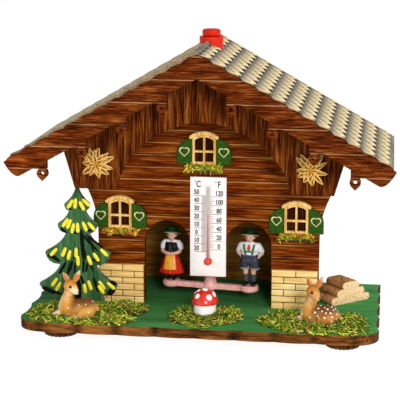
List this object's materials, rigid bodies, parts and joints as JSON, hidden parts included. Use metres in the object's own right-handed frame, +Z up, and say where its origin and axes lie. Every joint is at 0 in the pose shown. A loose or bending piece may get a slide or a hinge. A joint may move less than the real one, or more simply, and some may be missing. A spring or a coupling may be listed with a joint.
{
  "type": "weather house",
  "caption": "Wooden chalet weather house: figures on a gut-hung beam swing through arched doorways below a shingled roof, with an adjusting knob, a thermometer and a small garden on a footed base.",
  "frame": {"origin": "middle of the overall box, on the ground under the feet", "axes": "+X to the right across the front, +Y from front to back, +Z up along the figures' axis"},
  "size_m": [0.1846, 0.096, 0.1472],
  "materials": {
    "stained_wood": "red-brown stain over streaky grain, with pale engraved plank lines",
    "dark_wood": "dark brown stain",
    "olive_wood": "olive-brown stain",
    "green_wood": "green stained top with a browned, burnt edge",
    "shingle_wood": "pale scorched shingles, grey in the laps",
    "pale_wood": "bare pale wood with burnt lines",
    "red_plastic": "glossy red",
    "pink_plastic": "flesh pink, satin",
    "brass": "plain",
    "steel": "plain",
    "gut": "twisted gut",
    "woman_paint": "hand painted: red skirt, yellow apron, black bodice, green hat",
    "man_paint": "hand painted: white shirt, green braces, dark shorts, green hat",
    "white_card": "white with printed scales",
    "glass": "clear",
    "red_spirit": "red liquid",
    "shutter_green": "green paint with pale heart lines",
    "dried_flowers": "dried moss with red and yellow blossoms",
    "carved_flower": "carved pale wood",
    "fir_green": "green stain with burnt grooves and yellow dabs",
    "fawn_paint": "tan with white spots",
    "toadstool_paint": "red cap with white dots, pale stalk",
    "log_bark": "bark with pale sawn ends",
    "moss": "dried shredded moss"
  },
  "bodies": {
    "house": {"base_plate": "green_wood", "foot_front_left": "dark_wood", "foot_front_right": "dark_wood", "foot_back_left": "dark_wood", "foot_back_right": "dark_wood", "front_wall": "stained_wood", "back_wall": "olive_wood", "side_wall_left": "stained_wood", "side_wall_right": "stained_wood", "arch_board": "stained_wood", "bargeboard": "stained_wood", "roof_left": "shingle_wood", "roof_right": "shingle_wood", "ridge_block": "pale_wood", "chimney_saddle": "red_plastic", "thermometer_card": "white_card", "thermometer_tube": "glass", "thermometer_spirit": "red_spirit", "brick_panel_left": "pale_wood", "brick_panel_right": "pale_wood", "window_frame_left": "pale_wood", "window_frame_right": "pale_wood", "window_frame_gable": "pale_wood", "window_hood_left": "pale_wood", "window_hood_right": "pale_wood", "window_hood_gable": "pale_wood", "shutter_left_outer": "shutter_green", "shutter_left_inner": "shutter_green", "shutter_right_inner": "shutter_green", "shutter_right_outer": "shutter_green", "shutter_gable_left": "shutter_green", "shutter_gable_right": "shutter_green", "flowers_left": "dried_flowers", "flowers_right": "dried_flowers", "flowers_gable": "dried_flowers", "edelweiss_left": "carved_flower", "edelweiss_right": "carved_flower", "fir_tree": "fir_green", "fawn_left": "fawn_paint", "fawn_right": "fawn_paint", "toadstool": "toadstool_paint", "log_pile": "log_bark", "moss_left": "moss", "moss_middle": "moss", "moss_right": "moss"},
    "adjuster": {"adjuster_knob": "red_plastic", "adjuster_stem": "brass", "stem_retainer": "steel"},
    "figures": {"figure_beam": "pink_plastic", "woman": "woman_paint", "man": "man_paint", "gut_strand": "gut", "gut_ferrule": "brass", "gut_plug": "pale_wood"}
  },
  "joints": [
    {"name": "figures_turn", "type": "hinge", "parent": "house", "child": "figures", "pos_m": [0, 0.0059, 0.009], "axis": [0, 0, 1], "range_deg": [-22, 38], "stiffness_Nm_per_rad": 0.00001},
    {"name": "adjuster_turn", "type": "hinge", "parent": "house", "child": "adjuster", "pos_m": [0, 0.0059, 0.14], "axis": [0, 0, 1], "continuous": true}
  ]
}
